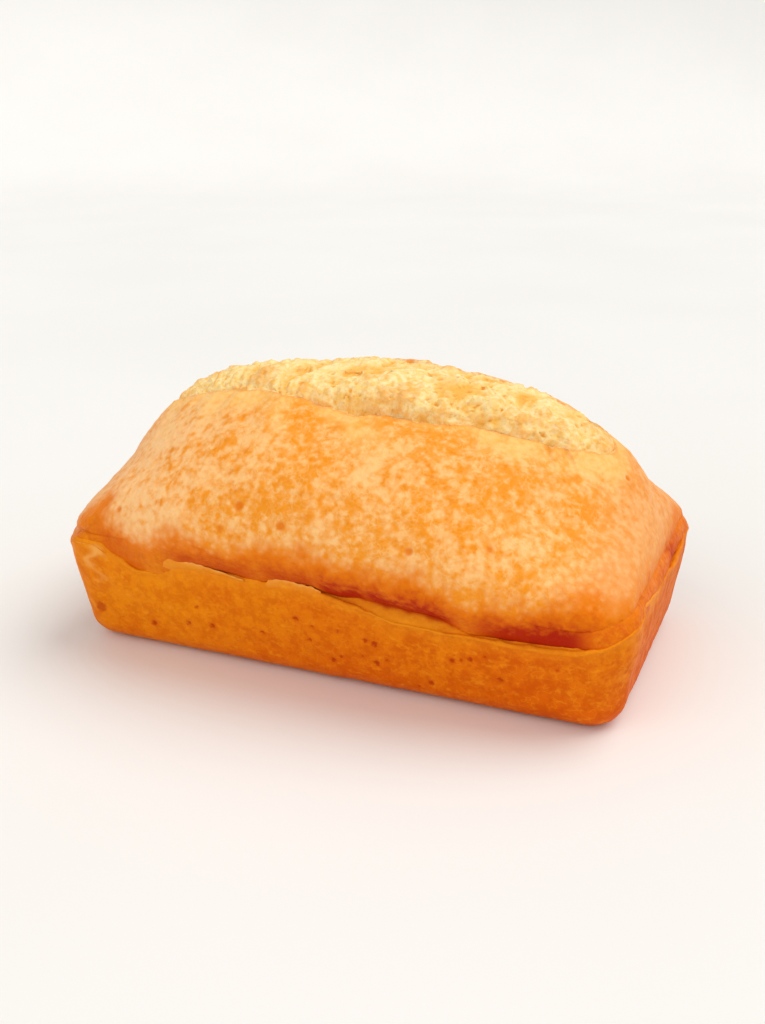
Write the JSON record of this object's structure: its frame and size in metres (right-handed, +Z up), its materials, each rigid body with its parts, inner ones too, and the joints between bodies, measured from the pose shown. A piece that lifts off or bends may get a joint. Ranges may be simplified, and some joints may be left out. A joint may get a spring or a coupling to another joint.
{
  "type": "pound cake loaf",
  "caption": "Whole loaf cake with flared tin-baked sides, a torn rim line below a swelling crown, and a long split along the top; rests on its flat base.",
  "frame": {"origin": "centre of the footprint on the flat base", "axes": "+X along the loaf, +Z up, -Y out of the long side with the ledge in its rim"},
  "size_m": [0.2118, 0.131, 0.1005],
  "materials": {
    "crust": "satin golden brown baked crust",
    "crumb": "matt pale yellow torn crumb"
  },
  "bodies": {
    "root": {"pound_cake_loaf": "crust"}
  },
  "joints": []
}
